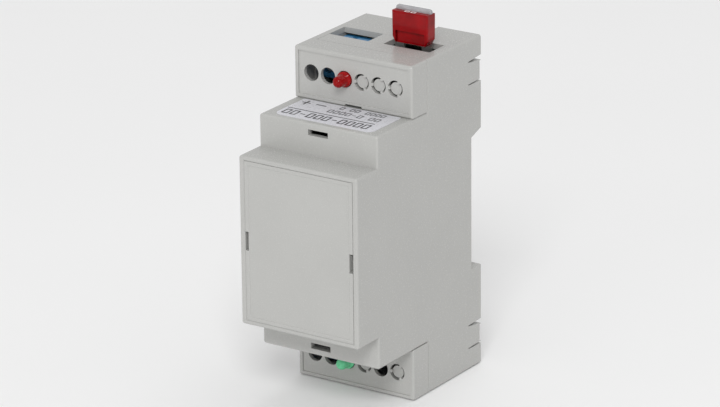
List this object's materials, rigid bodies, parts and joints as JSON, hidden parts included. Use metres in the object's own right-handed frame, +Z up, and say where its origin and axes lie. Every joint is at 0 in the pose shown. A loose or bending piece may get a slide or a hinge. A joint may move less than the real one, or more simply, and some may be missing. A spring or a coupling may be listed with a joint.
{
  "type": "industrial control relay",
  "caption": "Narrow rail-mounted relay unit with stepped grey housing, plug-in blade fuse on top, indicator lamps, screw terminals behind guards and a sprung rail latch.",
  "frame": {"origin": "centre of the rail seat, the flat floor of the recess that meets the rail's flanges", "axes": "+X along the rail, +Y out of the rear towards the rail, +Z up at right angles to the rail, towards the fuse"},
  "size_m": [0.0358, 0.0578, 0.1001],
  "materials": {
    "enclosure_plastic": "fine spark-eroded texture, semi-gloss light grey",
    "base_plastic": "moulded light grey, slightly darker",
    "spring_steel": "drawn wire and strip",
    "label_film": "printed polyester film",
    "board": "green solder mask",
    "zinc_steel": "zinc plated",
    "terminal_blue": "blue moulding",
    "tinned_brass": "tin plated",
    "holder_black": "black moulding",
    "strip_clear": "grey translucent plastic",
    "fuse_red": "translucent red plastic",
    "fuse_metal": "zinc alloy strip",
    "led_red": "clear red epoxy",
    "led_green": "diffused green epoxy",
    "spacer_nylon": "black nylon",
    "trimmer_blue": "blue moulding with pins",
    "trimmer_white": "off-white moulding",
    "relay_plastic": "blue moulding",
    "bobbin_plastic": "natural moulding",
    "soft_iron": "nickel-plated iron",
    "copper_wire": "enamelled copper wire",
    "contact_bronze": "bronze strip with silver contacts",
    "can_aluminium": "drawn can",
    "sleeve_film": "shrink film",
    "seal_rubber": "moulded rubber",
    "varistor_coat": "epoxy coat",
    "diode_black": "black moulding with tinned leads",
    "resistor_coat": "lacquer coat"
  },
  "bodies": {
    "enclosure": {"housing_body": "enclosure_plastic", "front_panel": "enclosure_plastic", "top_terminal_guard": "enclosure_plastic", "bottom_terminal_guard": "enclosure_plastic", "rear_base": "base_plastic", "latch_spring": "spring_steel", "relay_return_spring": "spring_steel", "rating_label": "label_film", "main_pcb": "board", "pcb_screws": "zinc_steel", "upper_terminal_block": "terminal_blue", "lower_terminal_block": "terminal_blue", "upper_terminal_contacts": "tinned_brass", "lower_terminal_contacts": "tinned_brass", "fuse_clip_left": "tinned_brass", "fuse_clip_right": "tinned_brass", "relay_coil_pins": "tinned_brass", "capacitor_leads": "tinned_brass", "red_led_leads": "tinned_brass", "green_led_leads": "tinned_brass", "fuse_holder": "holder_black", "red_led_lens": "led_red", "green_led_lens": "led_green", "red_led_spacer": "spacer_nylon", "green_led_spacer": "spacer_nylon", "trimmer_body": "trimmer_blue", "relay_base": "relay_plastic", "relay_case": "relay_plastic", "relay_bobbin": "bobbin_plastic", "relay_yoke": "soft_iron", "relay_core": "soft_iron", "relay_winding": "copper_wire", "relay_fixed_contact_no": "contact_bronze", "relay_fixed_contact_nc": "contact_bronze", "capacitor_can": "can_aluminium", "capacitor_sleeve": "sleeve_film", "capacitor_seal": "seal_rubber", "varistor": "varistor_coat", "flyback_diode": "diode_black", "lamp_resistors": "resistor_coat"},
    "fuse": {"fuse_body": "fuse_red", "fuse_element": "fuse_metal", "fuse_top_strip": "strip_clear"},
    "latch": {"din_latch": "base_plastic"},
    "armature": {"relay_armature": "soft_iron", "relay_moving_contact": "contact_bronze"},
    "trimmer_rotor": {"trimmer_rotor": "trimmer_white"},
    "upper_screw_1": {"upper_terminal_screw_1": "zinc_steel"},
    "upper_cage_1": {"upper_clamp_cage_1": "zinc_steel"},
    "upper_screw_2": {"upper_terminal_screw_2": "zinc_steel"},
    "upper_cage_2": {"upper_clamp_cage_2": "zinc_steel"},
    "lower_screw_1": {"lower_terminal_screw_1": "zinc_steel"},
    "lower_cage_1": {"lower_clamp_cage_1": "zinc_steel"},
    "lower_screw_2": {"lower_terminal_screw_2": "zinc_steel"},
    "lower_cage_2": {"lower_clamp_cage_2": "zinc_steel"}
  },
  "joints": [
    {"name": "fuse_pull", "type": "slide", "parent": "enclosure", "child": "fuse", "axis": [0, 0, 1], "range_m": [0, 0.012]},
    {"name": "latch_slide", "type": "slide", "parent": "enclosure", "child": "latch", "axis": [0, 0, 1], "range_m": [0, 0.003], "stiffness_N_per_m": 800, "springref_m": -0.003, "deforming": ["latch_spring"]},
    {"name": "armature_hinge", "type": "hinge", "parent": "enclosure", "child": "armature", "pos_m": [0.006, -0.0192, -0.007], "axis": [-1, 0, 0], "range_deg": [0, 3.8], "stiffness_Nm_per_rad": 0.02, "springref_deg": -8.59},
    {"name": "trimmer_turn", "type": "hinge", "parent": "enclosure", "child": "trimmer_rotor", "pos_m": [0.0075, -0.0105, -0.03835], "axis": [0, 1, 0], "range_deg": [-130, 130]},
    {"name": "upper_screw_1_turn", "type": "hinge", "parent": "enclosure", "child": "upper_screw_1", "pos_m": [-0.0129, -0.015, 0.03835], "axis": [0, 1, 0], "range_deg": [0, 1728.5]},
    {"name": "upper_cage_1_rise", "type": "slide", "parent": "enclosure", "child": "upper_cage_1", "axis": [0, -1, 0], "range_m": [0, 0.0024]},
    {"name": "upper_screw_2_turn", "type": "hinge", "parent": "enclosure", "child": "upper_screw_2", "pos_m": [-0.0078, -0.015, 0.03835], "axis": [0, 1, 0], "range_deg": [0, 1728.5]},
    {"name": "upper_cage_2_rise", "type": "slide", "parent": "enclosure", "child": "upper_cage_2", "axis": [0, -1, 0], "range_m": [0, 0.0024]},
    {"name": "lower_screw_1_turn", "type": "hinge", "parent": "enclosure", "child": "lower_screw_1", "pos_m": [-0.0129, -0.015, -0.03835], "axis": [0, 1, 0], "range_deg": [0, 1728.5]},
    {"name": "lower_cage_1_rise", "type": "slide", "parent": "enclosure", "child": "lower_cage_1", "axis": [0, -1, 0], "range_m": [0, 0.0024]},
    {"name": "lower_screw_2_turn", "type": "hinge", "parent": "enclosure", "child": "lower_screw_2", "pos_m": [-0.0078, -0.015, -0.03835], "axis": [0, 1, 0], "range_deg": [0, 1728.5]},
    {"name": "lower_cage_2_rise", "type": "slide", "parent": "enclosure", "child": "lower_cage_2", "axis": [0, -1, 0], "range_m": [0, 0.0024]}
  ],
  "couplings": [
    {"joint": "upper_screw_1_turn", "follows": "upper_cage_1_rise", "rad_per_m": 12566},
    {"joint": "upper_screw_2_turn", "follows": "upper_cage_2_rise", "rad_per_m": 12566},
    {"joint": "lower_screw_1_turn", "follows": "lower_cage_1_rise", "rad_per_m": 12566},
    {"joint": "lower_screw_2_turn", "follows": "lower_cage_2_rise", "rad_per_m": 12566}
  ]
}
